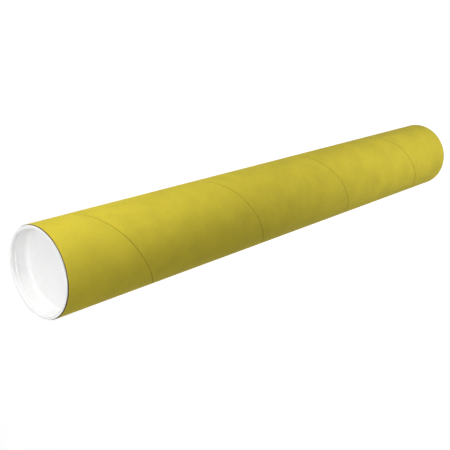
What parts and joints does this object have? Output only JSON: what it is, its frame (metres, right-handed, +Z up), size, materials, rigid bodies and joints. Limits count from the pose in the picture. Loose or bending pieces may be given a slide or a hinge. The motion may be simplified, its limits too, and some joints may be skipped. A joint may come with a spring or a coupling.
{
  "type": "mailing tube",
  "caption": "Spiral-wound paperboard mailing tube, yellow outside, with recessed white plug caps that press into its ends and pull out along its axis.",
  "frame": {"origin": "on the tube's axis, in the outer face of the lower cap's lip, on which the tube stands", "axes": "+Z up the tube's axis towards the cap that the picture shows, -Y towards the side that the picture shows"},
  "size_m": [0.0802, 0.0802, 0.6124],
  "materials": {
    "yellow_board": "uncoated dyed outer ply, matt",
    "white_plastic": "satin moulded polyethylene"
  },
  "bodies": {
    "tube": {"tube": "yellow_board"},
    "top_cap": {"top_cap": "white_plastic"},
    "bottom_cap": {"bottom_cap": "white_plastic"}
  },
  "joints": [
    {"name": "top_cap_pull", "type": "slide", "parent": "tube", "child": "top_cap", "axis": [0, 0, 1], "range_m": [0, 0.1]},
    {"name": "bottom_cap_pull", "type": "slide", "parent": "tube", "child": "bottom_cap", "axis": [0, 0, -1], "range_m": [0, 0.1]}
  ]
}
